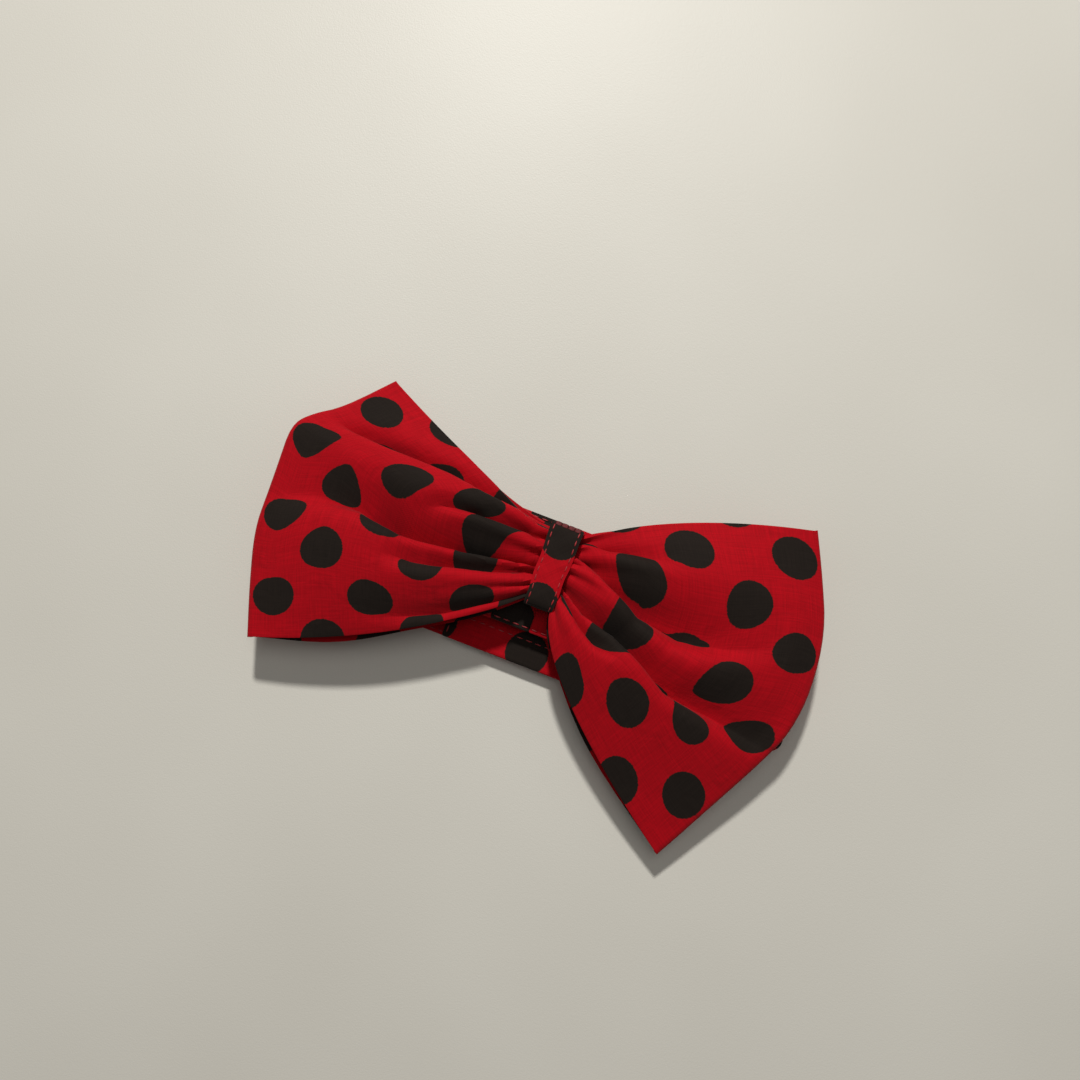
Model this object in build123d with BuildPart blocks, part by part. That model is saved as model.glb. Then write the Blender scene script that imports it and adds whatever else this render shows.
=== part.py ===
"""Pre-tied bow tie: a gathered fabric bow held by a keeper strip on a neck band that fastens
with hook and loop tape. It lies face up with the band folded flat beneath the bow.

Frame: +X along the bow towards its right wing, +Y towards the bow's upper edge, +Z up, out of
the bow's face. The origin is on the resting surface, straight under the middle of the keeper.
Units: millimetres.
"""
from build123d import *

import os
from math import radians, tan

os.makedirs("parts", exist_ok=True)

# ---------------------------------------------------------------- driving dimensions
# cloth and thread
ply = 0.4                     # one ply of cotton, with what it gains in a pressed seam
interfacing = 0.3             # fused stiffener between the two plies of the bow
thread = 0.4                  # width of a laid stitch
thread_proud = 0.15           # how far a stitch stands off the cloth

# bow
left_reach = 84.0             # fold of the left wing, from the fan's centre
right_reach = 80.0            # fold of the right wing, from the fan's centre
fan_centre_y = -8.0           # both folds are arcs about this point of the Y axis
waist_half_height = 11.1      # gathered waist, across the bow
waist_thickness = 7.0         # gathered waist, front to back
waist_flat_radius = 21.0      # the wings start to fill out beyond this radius
crown_rise = 5.6              # front panel's highest line over the waist
belly_drop = 1.0              # back panel's lowest line under the waist
crown_radius = 43.0           # distance of both lines from the fan's centre
left_fold_lift = 3.6          # left fold over the underside of the waist
right_fold_lift = 1.6         # right fold over the underside of the waist
fold_half_thickness = 1.3     # pressed end fold of a wing
waist_fill_radius = 24.0      # pleats fill the loop up to this radius

# directions of the fan's edges, in degrees from the bow's own axis
right_upper_angle = 23.0
right_lower_angle = 37.5
left_upper_angle = 25.0
left_lower_angle = 28.4
left_turned_corner = (-60.3, 33.2)   # top corner of the left wing
left_turned_angle = 41.5             # slope of the edge that is turned under there
right_shoulder = (8.0, -27.0)        # where the right wing's lower edge leaves the keeper
left_upper_run = 15.0                # straight stretch of waist before the upper left edge

# keeper, the narrow strip round the waist
keeper_width = 9.5
keeper_thickness = 1.0
stitch_inset = 1.0            # topstitching, in from any edge
tack_bars = 5                 # rows of the tack at the keeper's upper end
tack_pitch = 0.6

# neck band
band_width = 33.1
band_thickness = 1.1
band_upper_edge = 13.4        # upper edge of the band behind the bow
back_shift = 9.8              # the back of the band lies this much lower than its front
fold_reach = 78.5             # folded ends of the flattened band, from the origin
neck_gap = 4.9                # free height in the flattened loop over the fastening
right_arm_tip = -23.5         # end of the upper, right-hand arm
tab_length = 38.0             # fastening end of the lower, left-hand arm
tab_tip = 14.0
ramp_start = 20.0             # the right arm comes down to the surface beyond the tab
ramp_run = 9.0

# hook and loop tape
tape_length = 28.0
tape_width = 20.0
tape_thickness = 0.9
tape_stitch_inset = 2.0

# clearances
fold_clearance = 0.3          # between an arm and the fold that it hangs from
tape_clearance = 0.3          # between the two fastened tapes
tip_clearance = 1.5           # between the tab's tip and the ramp

# ---------------------------------------------------------------- derived levels and places
arm_level = 0.0
tab_top = arm_level + band_thickness
hook_top = tab_top + 2 * tape_thickness + tape_clearance
right_arm_level = hook_top
right_arm_top = right_arm_level + band_thickness
band_level = right_arm_top + neck_gap
band_top = band_level + band_thickness
waist_level = band_top + keeper_thickness + thread
waist_top = waist_level + waist_thickness
keeper_top = waist_top + thread + keeper_thickness

band_lower_edge = band_upper_edge - band_width
back_upper_edge = band_upper_edge - back_shift
back_lower_edge = band_lower_edge - back_shift
back_middle = (back_upper_edge + back_lower_edge) / 2
fold_radius = band_top / 2
fold_centre_x = fold_reach - fold_radius
arm_hinge_x = fold_centre_x - fold_clearance
tab_hinge_x = tab_tip - tab_length
tape_middle_x = (max(right_arm_tip, tab_hinge_x) + tab_tip) / 2
ramp_x = max(ramp_start, tab_tip + tip_clearance)

waist_half_length = keeper_width / 2 + 0.5
keeper_half_height = waist_half_height + thread + keeper_thickness
lining = ply + interfacing
panel = 2 * ply + interfacing
beyond = 3 * max(left_reach, right_reach)

# slopes of the panels' side section where its stretches meet
level_out = (1, 0)
level_in = (-1, 0)
front_slope = (1, -0.3)
back_slope = (-1, -0.1)
leaving_waist = (1, 0.15)


# ---------------------------------------------------------------- shapes used several times
def side_plane(side):
    """Plane through the fan's vertical centre line, where the half turn of one side starts."""
    return Plane((0, fan_centre_y, 0), x_dir=(0, -side, 0), z_dir=(-side, 0, 0))


def wing_section(side, inset):
    """Side section of one wing, from the fan's centre out to its end fold."""
    reach, lift = (right_reach, right_fold_lift) if side > 0 else (left_reach, left_fold_lift)
    low = waist_level + inset
    high = waist_top - inset
    fold_z = waist_level + lift
    half = fold_half_thickness - inset
    round_x = reach - fold_half_thickness
    with BuildSketch() as section:
        with BuildLine():
            crown = (crown_radius, high + crown_rise)
            belly = (crown_radius, low - belly_drop)
            Polyline((waist_flat_radius, low), (0, low), (0, high), (waist_flat_radius, high))
            Spline((waist_flat_radius, high), crown, tangents=(level_out, level_out))
            Spline(crown, (round_x, fold_z + half), tangents=(level_out, front_slope))
            ThreePointArc((round_x, fold_z + half), (round_x + half, fold_z), (round_x, fold_z - half))
            Spline((round_x, fold_z - half), belly, tangents=(back_slope, level_in))
            Spline(belly, (waist_flat_radius, low), tangents=(level_in, level_in))
        make_face()
    return section.sketch


def wing_hollow(side):
    """Side section of the empty loop inside one wing, which ends in a sharp crease."""
    reach, lift = (right_reach, right_fold_lift) if side > 0 else (left_reach, left_fold_lift)
    low = waist_level + panel
    high = waist_top - panel
    crease = (reach - 2 * fold_half_thickness, waist_level + lift)
    with BuildSketch() as hollow:
        with BuildLine():
            crown = (crown_radius, high + crown_rise)
            belly = (crown_radius, low - belly_drop)
            Line((waist_fill_radius, low), (waist_fill_radius, high))
            Spline((waist_fill_radius, high), crown, tangents=(leaving_waist, level_out))
            Spline(crown, crease, tangents=(level_out, front_slope))
            Spline(crease, belly, tangents=(back_slope, level_in))
            Spline(belly, (waist_fill_radius, low), tangents=(level_in, level_in))
        make_face()
    return hollow.sketch


def fan_half(side, outline, cut_out):
    """One side of a layer of the bow: its section swept about the fan's centre, then trimmed."""
    with BuildPart() as half:
        with BuildSketch(side_plane(side)):
            add(outline)
            add(cut_out, mode=Mode.SUBTRACT)
        revolve(axis=Axis((0, fan_centre_y, 0), (0, 0, 1)), revolution_arc=180)
        add(fan.part, mode=Mode.INTERSECT)
    return half.part


def arm_section(tip_x, level, thickness, at_hinge=0.0):
    """Side section of the right arm: raised over the tab, then down to the resting surface."""
    low = level
    high = level + thickness
    drop = right_arm_level - arm_level
    foot = ramp_x + ramp_run
    with BuildSketch() as section:
        with BuildLine():
            Polyline(
                (arm_hinge_x - at_hinge, low - drop),
                (arm_hinge_x - at_hinge, high - drop),
                (foot, high - drop),
                (ramp_x, high),
                (tip_x, high),
                (tip_x, low),
                (ramp_x, low),
                (foot, low - drop),
                close=True,
            )
        make_face()
    return section.sketch


def run(length, width, height=thread_proud):
    """One straight stretch of laid thread, standing on its location."""
    Box(length, width, height, align=(Align.CENTER, Align.CENTER, Align.MIN))


def frame_rows(length, width, level, middle):
    """Four rows of thread around a rectangle, as sewn through a patch of tape."""
    x, y = middle
    for side in (-1, 1):
        with Locations((x, y + side * width / 2, level)):
            run(length + thread, thread)
        with Locations((x + side * length / 2, y, level)):
            run(thread, width - thread)


# ---------------------------------------------------------------- outline of the gathered fan
def along(start, angle, run_x):
    """Point reached from start by going run_x along X, rising at the angle."""
    return (start[0] + run_x, start[1] + abs(run_x) * tan(radians(angle)))


right_upper_start = (waist_half_length, waist_half_height)
right_lower_start = (waist_half_length, -waist_half_height)
left_upper_start = (-left_upper_run, waist_half_height)
left_lower_start = (-waist_half_length, -waist_half_height)
turned_far = along(left_turned_corner, -left_turned_angle, -beyond)
upper_left = along(left_upper_start, left_upper_angle, left_turned_corner[0] + left_upper_run)

with BuildPart() as fan:
    with BuildSketch(Plane.XY):
        with BuildLine():
            Polyline(
                right_upper_start,
                along(right_upper_start, right_upper_angle, beyond),
                along(right_shoulder, -right_lower_angle, beyond),
                right_shoulder,
                right_lower_start,
                left_lower_start,
                along(left_lower_start, -left_lower_angle, -beyond),
                turned_far,
                upper_left,
                left_upper_start,
                close=True,
            )
        make_face()
    extrude(amount=3 * keeper_top)

# ---------------------------------------------------------------- the bow
# The bow is one pressed tube of cloth folded into a loop: outer ply, fused stiffener, inner ply.
with BuildPart() as bow_outer_ply:
    for side in (1, -1):
        add(fan_half(side, wing_section(side, 0), wing_section(side, ply)))

with BuildPart() as bow_interfacing:
    for side in (1, -1):
        add(fan_half(side, wing_section(side, ply), wing_section(side, lining)))

# At the waist the inner ply is bunched solid by the pleats.
with BuildPart() as bow_inner_ply:
    for side in (1, -1):
        add(fan_half(side, wing_section(side, lining), wing_hollow(side)))

# Three turns of thread tie the pleats before the keeper goes on.
waist_middle = waist_level + waist_thickness / 2
with BuildPart() as gathering_thread:
    for turn in (-1, 0, 1):
        with BuildSketch(Plane.YZ.offset(turn * 3 * thread - thread / 2)):
            with Locations((0, waist_middle)):
                Rectangle(2 * (waist_half_height + thread), waist_thickness + 2 * thread)
                Rectangle(2 * waist_half_height, waist_thickness, mode=Mode.SUBTRACT)
        extrude(amount=thread)

# ---------------------------------------------------------------- the keeper
keeper_middle = (band_top + keeper_top) / 2
keeper_height = keeper_top - band_top
with BuildPart() as keeper_strip:
    with BuildSketch(Plane.YZ.offset(-keeper_width / 2)):
        with Locations((0, keeper_middle)):
            RectangleRounded(2 * keeper_half_height, keeper_height, 0.9 * keeper_thickness)
            Rectangle(
                2 * (waist_half_height + thread), waist_thickness + 2 * thread, mode=Mode.SUBTRACT
            )
    extrude(amount=keeper_width)

tack_top_y = keeper_half_height - 2 * stitch_inset
tack_bottom_y = tack_top_y - (tack_bars - 1) * tack_pitch
with BuildPart() as keeper_topstitching:
    for side in (-1, 1):
        row_end = tack_bottom_y - tack_pitch
        row_start = -keeper_half_height + 2 * stitch_inset
        x = side * (keeper_width / 2 - stitch_inset)
        with Locations((x, (row_end + row_start) / 2, keeper_top)):
            run(thread, row_end - row_start)

with BuildPart() as keeper_top_tack:
    for bar in range(tack_bars):
        with Locations((0, tack_top_y - bar * tack_pitch, keeper_top)):
            run(keeper_width - 2 * stitch_inset, thread)

# Crossed under the waist, this tack holds the keeper's back to the band.
with BuildPart() as keeper_band_tack:
    for y in (-waist_half_height / 2, waist_half_height / 2):
        with Locations((0, y, band_level - thread_proud)):
            run(keeper_width - 2 * stitch_inset, thread)

# ---------------------------------------------------------------- the neck band's front
with BuildPart() as band_side_clip:
    with BuildSketch(Plane.YZ.offset(-beyond)):
        with BuildLine():
            Polyline(
                (band_upper_edge, band_top),
                (band_upper_edge, band_level),
                (back_upper_edge, tab_top),
                (back_upper_edge, arm_level),
                (back_lower_edge, arm_level),
                (back_lower_edge, tab_top),
                (band_lower_edge, band_level),
                (band_lower_edge, band_top),
                close=True,
            )
        make_face()
    extrude(amount=2 * beyond)

with BuildPart() as band_front:
    with BuildSketch(Plane.XZ.offset(-band_upper_edge)):
        with Locations((-fold_centre_x, fold_radius), (fold_centre_x, fold_radius)):
            Circle(fold_radius)
            Circle(fold_radius - band_thickness, mode=Mode.SUBTRACT)
        with Locations((0, fold_radius)):
            Rectangle(2 * fold_centre_x, band_top, mode=Mode.SUBTRACT)
        with Locations((0, band_top - band_thickness / 2)):
            Rectangle(2 * fold_centre_x, band_thickness)
    extrude(amount=band_upper_edge - back_lower_edge)
    add(band_side_clip.part, mode=Mode.INTERSECT)

upper_row_y = band_upper_edge - stitch_inset
lower_row_y = band_lower_edge + stitch_inset
keeper_side = keeper_width / 2 + thread
upper_run = fold_centre_x - keeper_side
with BuildPart() as band_front_topstitching:
    with Locations((0, lower_row_y, band_top)):
        run(2 * fold_centre_x, thread)
    for side in (-1, 1):
        with Locations((side * (keeper_side + upper_run / 2), upper_row_y, band_top)):
            run(upper_run, thread)

# ---------------------------------------------------------------- left arm and fastening tab
left_arm_run = tab_hinge_x - fold_clearance + arm_hinge_x
left_arm_middle = tab_hinge_x - fold_clearance - left_arm_run / 2
with BuildPart() as band_left_arm:
    with Locations((left_arm_middle, back_middle, arm_level)):
        run(left_arm_run, band_width, band_thickness)

row_offset = band_width / 2 - stitch_inset
with BuildPart() as left_arm_topstitching:
    for side in (-1, 1):
        with Locations((left_arm_middle, back_middle + side * row_offset, tab_top)):
            run(left_arm_run - 2 * thread, thread)

with BuildPart() as fastening_tab:
    with Locations((tab_tip - tab_length / 2, back_middle, arm_level)):
        run(tab_length, band_width, band_thickness)

tab_rows_length = tab_length - stitch_inset - thread
with BuildPart() as tab_topstitching:
    for side in (-1, 1):
        x = tab_hinge_x + thread + tab_rows_length / 2
        with Locations((x, back_middle + side * row_offset, tab_top)):
            run(tab_rows_length, thread)
    with Locations((tab_tip - stitch_inset, back_middle, tab_top)):
        run(thread, 2 * row_offset - thread)

with BuildPart() as loop_tape:
    with Locations((tape_middle_x, back_middle, tab_top)):
        run(tape_length, tape_width, tape_thickness)

tape_rows = (tape_length - 2 * tape_stitch_inset, tape_width - 2 * tape_stitch_inset)
with BuildPart() as loop_tape_stitching:
    frame_rows(*tape_rows, tab_top + tape_thickness, (tape_middle_x, back_middle))

# ---------------------------------------------------------------- right arm
with BuildPart() as band_right_arm:
    with BuildSketch(Plane.XZ.offset(-back_upper_edge)):
        add(arm_section(right_arm_tip, right_arm_level, band_thickness))
    extrude(amount=band_width)

with BuildPart() as right_arm_topstitching:
    for side in (-1, 1):
        row_y = back_middle + side * row_offset
        row_tip = right_arm_tip + stitch_inset
        with BuildSketch(Plane.XZ.offset(-row_y - thread / 2)):
            add(arm_section(row_tip, right_arm_top, thread_proud, at_hinge=thread))
        extrude(amount=thread)
    with Locations((right_arm_tip + stitch_inset + thread / 2, back_middle, right_arm_top)):
        run(thread, 2 * row_offset - thread)

with BuildPart() as hook_tape:
    with Locations((tape_middle_x, back_middle, right_arm_level - tape_thickness)):
        run(tape_length, tape_width, tape_thickness)

with BuildPart() as hook_tape_stitching:
    frame_rows(*tape_rows, right_arm_top, (tape_middle_x, back_middle))

# ---------------------------------------------------------------- names and files
pieces = {
    "bow_outer_ply": bow_outer_ply,
    "bow_interfacing": bow_interfacing,
    "bow_inner_ply": bow_inner_ply,
    "gathering_thread": gathering_thread,
    "keeper_strip": keeper_strip,
    "keeper_topstitching": keeper_topstitching,
    "keeper_top_tack": keeper_top_tack,
    "keeper_band_tack": keeper_band_tack,
    "band_front": band_front,
    "band_front_topstitching": band_front_topstitching,
    "band_left_arm": band_left_arm,
    "left_arm_topstitching": left_arm_topstitching,
    "fastening_tab": fastening_tab,
    "tab_topstitching": tab_topstitching,
    "loop_tape": loop_tape,
    "loop_tape_stitching": loop_tape_stitching,
    "band_right_arm": band_right_arm,
    "right_arm_topstitching": right_arm_topstitching,
    "hook_tape": hook_tape,
    "hook_tape_stitching": hook_tape_stitching,
}

for piece_name, piece in pieces.items():
    piece.part.label = piece_name
    export_step(piece.part, f"parts/{piece_name}.step")
    box = piece.part.bounding_box()
    print(f"{piece_name}: {len(piece.part.solids())} solids, {piece.part.volume:.1f} mm3, "
          f"x {box.min.X:.1f}..{box.max.X:.1f}, y {box.min.Y:.1f}..{box.max.Y:.1f}, "
          f"z {box.min.Z:.2f}..{box.max.Z:.2f}")
print(f"front of the band at {band_top:.2f}, top of the keeper at {keeper_top:.2f}")
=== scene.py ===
# %% A dotted bow tie on a band
# %% [markdown]
# The piece is a large floppy bow sewn on a flat neck band, cut from one printed cotton.
# The solid model is loaded first; every cloth piece below is laid over its parts.
# Lengths in the lists are millimetres, because a sewing pattern is; MM turns them to metres.

# %% Load the solid model
import math

import bmesh
import bpy
import numpy as np
from mathutils import Matrix, Vector


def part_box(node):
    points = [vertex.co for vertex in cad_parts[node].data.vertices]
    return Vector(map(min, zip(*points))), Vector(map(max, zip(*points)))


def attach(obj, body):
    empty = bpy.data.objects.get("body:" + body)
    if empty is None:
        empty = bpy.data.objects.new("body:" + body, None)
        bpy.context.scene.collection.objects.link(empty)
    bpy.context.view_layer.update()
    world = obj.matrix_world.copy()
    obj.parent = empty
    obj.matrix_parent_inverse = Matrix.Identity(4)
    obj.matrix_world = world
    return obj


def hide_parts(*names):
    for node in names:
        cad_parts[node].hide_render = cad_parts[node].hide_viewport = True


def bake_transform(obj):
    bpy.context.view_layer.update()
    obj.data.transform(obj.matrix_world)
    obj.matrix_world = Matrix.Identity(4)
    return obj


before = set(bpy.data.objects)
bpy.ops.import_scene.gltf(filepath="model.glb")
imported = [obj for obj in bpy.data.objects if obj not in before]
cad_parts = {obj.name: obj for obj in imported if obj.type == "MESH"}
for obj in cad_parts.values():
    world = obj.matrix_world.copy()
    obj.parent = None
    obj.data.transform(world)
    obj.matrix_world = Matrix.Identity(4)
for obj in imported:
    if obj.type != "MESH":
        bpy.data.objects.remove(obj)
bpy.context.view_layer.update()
MM = 0.001

# %% [markdown]
# The camera looks almost straight down on the bow, turned about a fifth of a right angle,
# so the bow runs from upper left to lower right.

# %% Camera
camera_turn, camera_rise = math.radians(21.0), math.radians(85.0)
camera_distance, lens, sensor = 0.330, 38.9, 36.0
back = Vector((math.sin(camera_turn) * math.cos(camera_rise),
               -math.cos(camera_turn) * math.cos(camera_rise), math.sin(camera_rise)))
across = Vector((math.cos(camera_turn), math.sin(camera_turn), 0.0))
upward = back.cross(across)
aim = Vector((0.0, 0.0, 0.017)) - across * 3.7 * MM + upward * 7.6 * MM
camera = bpy.data.objects.new("camera", bpy.data.cameras.new("camera"))
bpy.context.scene.collection.objects.link(camera)
camera.data.lens, camera.data.sensor_width = lens, sensor
camera.location = aim + back * camera_distance
camera.rotation_mode = "QUATERNION"
camera.rotation_quaternion = (-back).to_track_quat("-Z", "Y")
camera.data.clip_start, camera.data.clip_end = 0.01, 10.0
bpy.context.scene.camera = camera
bpy.context.scene.view_settings.view_transform = "Standard"
print("camera at", tuple(camera.location))

# %% [markdown]
# Small helpers for materials: one call makes a node, one call joins two sockets.

# %% Material helpers
def new_material(name):
    material = bpy.data.materials.new(name)
    material.use_nodes = True
    return material, material.node_tree.nodes, material.node_tree.links


def add_node(nodes, kind, **settings):
    node = nodes.new(kind)
    for key, value in settings.items():
        setattr(node, key, value)
    return node


def math_node(nodes, links, operation, first, second=None):
    node = nodes.new("ShaderNodeMath")
    node.operation = operation
    for socket, value in zip(node.inputs, (first, second)):
        if value is None:
            continue
        if isinstance(value, (int, float)):
            socket.default_value = value
        else:
            links.new(value, socket)
    return node.outputs[0]


# %% [markdown]
# The table is a pale satin board with a very fine grain.

# %% Floor
def floor_material():
    material, nodes, links = new_material("pale_board")
    shader = nodes["Principled BSDF"]
    where = add_node(nodes, "ShaderNodeTexCoord").outputs["Object"]
    cloud = add_node(nodes, "ShaderNodeTexNoise")
    cloud.inputs["Scale"].default_value = 9.0
    cloud.inputs["Detail"].default_value = 2.0
    links.new(where, cloud.inputs["Vector"])
    grain = add_node(nodes, "ShaderNodeTexNoise")
    grain.inputs["Scale"].default_value = 2600.0
    grain.inputs["Detail"].default_value = 1.0
    links.new(where, grain.inputs["Vector"])
    ramp = add_node(nodes, "ShaderNodeValToRGB")
    ramp.color_ramp.elements[0].position = 0.3
    ramp.color_ramp.elements[0].color = (0.575, 0.560, 0.510, 1)
    ramp.color_ramp.elements[1].position = 0.7
    ramp.color_ramp.elements[1].color = (0.615, 0.602, 0.552, 1)
    links.new(cloud.outputs["Fac"], ramp.inputs["Fac"])
    links.new(ramp.outputs["Color"], shader.inputs["Base Color"])
    bump = add_node(nodes, "ShaderNodeBump")
    bump.inputs["Strength"].default_value = 0.30
    bump.inputs["Distance"].default_value = 0.00012
    links.new(grain.outputs["Fac"], bump.inputs["Height"])
    links.new(bump.outputs["Normal"], shader.inputs["Normal"])
    shader.inputs["Roughness"].default_value = 0.44
    shader.inputs["Specular IOR Level"].default_value = 0.30
    return material


floor_mesh = bpy.data.meshes.new("floor")
bm = bmesh.new()
floor_drop = 0.0006
bmesh.ops.create_grid(bm, x_segments=1, y_segments=1, size=1.5,
                      matrix=Matrix.Translation((0, 0, -floor_drop)))
bm.to_mesh(floor_mesh)
bm.free()
floor = bpy.data.objects.new("floor", floor_mesh)
bpy.context.scene.collection.objects.link(floor)
floor.data.materials.append(floor_material())
print("floor", floor.dimensions[:])

# %% [markdown]
# One soft lamp stands beyond the top of the bow, so the shadows fall towards the viewer.
# A wide weak panel overhead and a dim room fill the shadows.

# %% Lights
def area_light(name, direction, rise, distance, size, power, colour):
    light = bpy.data.lights.new(name, "AREA")
    light.shape, light.size, light.energy, light.color = "DISK", size, power, colour
    holder = bpy.data.objects.new(name, light)
    bpy.context.scene.collection.objects.link(holder)
    flat = Vector((direction[0], direction[1], 0.0)).normalized()
    place = flat * math.cos(rise) * distance + Vector((0, 0, math.sin(rise) * distance))
    holder.location = place
    holder.rotation_mode = "QUATERNION"
    holder.rotation_quaternion = (-place).to_track_quat("-Z", "Y")


area_light("lamp", (-0.36, 0.93), math.radians(50), 1.2, 0.10, 12.8, (1.0, 0.975, 0.93))
area_light("ceiling", (-0.145, 0.99), math.radians(78), 1.6, 0.8, 3.7, (1.0, 0.985, 0.95))
world = bpy.data.worlds.new("room")
world.use_nodes = True
world.node_tree.nodes["Background"].inputs["Color"].default_value = (1.0, 0.965, 0.92, 1)
world.node_tree.nodes["Background"].inputs["Strength"].default_value = 0.15
bpy.context.scene.world = world

# %% [markdown]
# The cotton is red with round black dots half an inch wide. The dots stand on a square
# grid turned an eighth of a circle, so neighbouring rows are offset by half a step.
# The pattern is worked out from the cloth's own flat coordinates, in millimetres, so it
# follows every fold. Fine crossed threads, slubs and faint creases break the surface up.

# %% Dotted cotton
dot_width, dot_row_step = 12.7, 14.15
weave_pitch = 0.42


def cotton_material():
    material, nodes, links = new_material("dotted_cotton")
    shader = nodes["Principled BSDF"]
    flat_place = add_node(nodes, "ShaderNodeUVMap", uv_map="cloth").outputs["UV"]

    def operate(*values):
        return math_node(nodes, links, *values)

    wobble = add_node(nodes, "ShaderNodeTexNoise")
    wobble.inputs["Scale"].default_value = 1.6
    wobble.inputs["Detail"].default_value = 2.0
    links.new(flat_place, wobble.inputs["Vector"])
    parts = add_node(nodes, "ShaderNodeSeparateXYZ")
    links.new(flat_place, parts.inputs[0])
    along, over = parts.outputs[0], parts.outputs[1]

    def distance_to_grid(shift):
        squares = []
        for value in (along, over):
            cell = operate("ADD", operate("DIVIDE", value, 2 * dot_row_step), shift)
            away = operate("SUBTRACT", operate("FRACT", cell), 0.5)
            squares.append(operate("POWER", operate("MULTIPLY", away, 2 * dot_row_step), 2.0))
        return operate("SQRT", operate("ADD", squares[0], squares[1]))

    near = operate("MINIMUM", distance_to_grid(0.5), distance_to_grid(0.0))
    ragged = operate("MULTIPLY", operate("SUBTRACT", wobble.outputs["Fac"], 0.5), 0.55)
    edge = add_node(nodes, "ShaderNodeMapRange")
    edge.interpolation_type = "SMOOTHSTEP"
    edge.inputs["From Min"].default_value = dot_width / 2 + 0.14
    edge.inputs["From Max"].default_value = dot_width / 2 - 0.14
    links.new(operate("ADD", near, ragged), edge.inputs["Value"])

    slub = []
    for stretch in ((0.10, 2.6, 1.0), (2.6, 0.10, 1.0)):
        turn = add_node(nodes, "ShaderNodeMapping")
        turn.inputs["Scale"].default_value = stretch
        links.new(flat_place, turn.inputs["Vector"])
        noise = add_node(nodes, "ShaderNodeTexNoise")
        noise.inputs["Scale"].default_value = 1.0
        noise.inputs["Detail"].default_value = 3.0
        links.new(turn.outputs[0], noise.inputs["Vector"])
        slub.append(noise.outputs["Fac"])
    streak = operate("ADD", slub[0], slub[1])

    shade = add_node(nodes, "ShaderNodeMapRange")
    shade.inputs["From Min"].default_value = 0.7
    shade.inputs["From Max"].default_value = 1.3
    shade.inputs["To Min"].default_value = 0.80
    shade.inputs["To Max"].default_value = 1.16
    links.new(streak, shade.inputs["Value"])
    red = add_node(nodes, "ShaderNodeMix", data_type="RGBA", blend_type="MULTIPLY")
    red.inputs["Factor"].default_value = 1.0
    red.inputs[6].default_value = (0.375, 0.0004, 0.0058, 1)
    links.new(shade.outputs[0], red.inputs[7])
    black = add_node(nodes, "ShaderNodeMix", data_type="RGBA", blend_type="MULTIPLY")
    black.inputs["Factor"].default_value = 1.0
    black.inputs[6].default_value = (0.0125, 0.0085, 0.0065, 1)
    links.new(shade.outputs[0], black.inputs[7])
    colour = add_node(nodes, "ShaderNodeMix", data_type="RGBA")
    links.new(edge.outputs[0], colour.inputs["Factor"])
    links.new(red.outputs[2], colour.inputs[6])
    links.new(black.outputs[2], colour.inputs[7])
    links.new(colour.outputs[2], shader.inputs["Base Color"])

    threads = []
    for value in (along, over):
        wave = operate("SINE", operate("MULTIPLY", value, 2 * math.pi / weave_pitch))
        threads.append(wave)
    weave = operate("MULTIPLY", operate("MULTIPLY", threads[0], threads[1]), 0.5)
    crease = add_node(nodes, "ShaderNodeTexNoise")
    crease.inputs["Scale"].default_value = 0.10
    crease.inputs["Detail"].default_value = 3.0
    crease.inputs["Distortion"].default_value = 0.6
    links.new(flat_place, crease.inputs["Vector"])
    height = operate("ADD", weave, operate("MULTIPLY", streak, 1.1))
    fine = add_node(nodes, "ShaderNodeBump")
    fine.inputs["Strength"].default_value = 0.35
    fine.inputs["Distance"].default_value = 0.00006
    links.new(height, fine.inputs["Height"])
    broad = add_node(nodes, "ShaderNodeBump")
    broad.inputs["Strength"].default_value = 0.22
    broad.inputs["Distance"].default_value = 0.0022
    links.new(crease.outputs["Fac"], broad.inputs["Height"])
    links.new(fine.outputs["Normal"], broad.inputs["Normal"])
    links.new(broad.outputs["Normal"], shader.inputs["Normal"])
    shader.inputs["Roughness"].default_value = 0.82
    shader.inputs["Specular IOR Level"].default_value = 0.12
    shader.inputs["Sheen Weight"].default_value = 0.03
    shader.inputs["Sheen Roughness"].default_value = 0.5
    return material


cotton = cotton_material()
print("cotton nodes", len(cotton.node_tree.nodes))

# %% [markdown]
# The sewing thread, the stiffener inside the bow and the two halves of the fastening tape
# each get a plain finish with a little grain.

# %% Thread, stiffener and tape
def grained_material(name, dark, light, roughness, scale, depth, sheen=0.0):
    material, nodes, links = new_material(name)
    shader = nodes["Principled BSDF"]
    where = add_node(nodes, "ShaderNodeTexCoord").outputs["Object"]
    noise = add_node(nodes, "ShaderNodeTexNoise")
    noise.inputs["Scale"].default_value = scale
    noise.inputs["Detail"].default_value = 3.0
    links.new(where, noise.inputs["Vector"])
    ramp = add_node(nodes, "ShaderNodeValToRGB")
    ramp.color_ramp.elements[0].position, ramp.color_ramp.elements[1].position = 0.35, 0.65
    ramp.color_ramp.elements[0].color = (*dark, 1)
    ramp.color_ramp.elements[1].color = (*light, 1)
    links.new(noise.outputs["Fac"], ramp.inputs["Fac"])
    links.new(ramp.outputs["Color"], shader.inputs["Base Color"])
    bump = add_node(nodes, "ShaderNodeBump")
    bump.inputs["Strength"].default_value = 0.5
    bump.inputs["Distance"].default_value = depth
    links.new(noise.outputs["Fac"], bump.inputs["Height"])
    links.new(bump.outputs["Normal"], shader.inputs["Normal"])
    shader.inputs["Roughness"].default_value = roughness
    shader.inputs["Sheen Weight"].default_value = sheen
    return material


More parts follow.
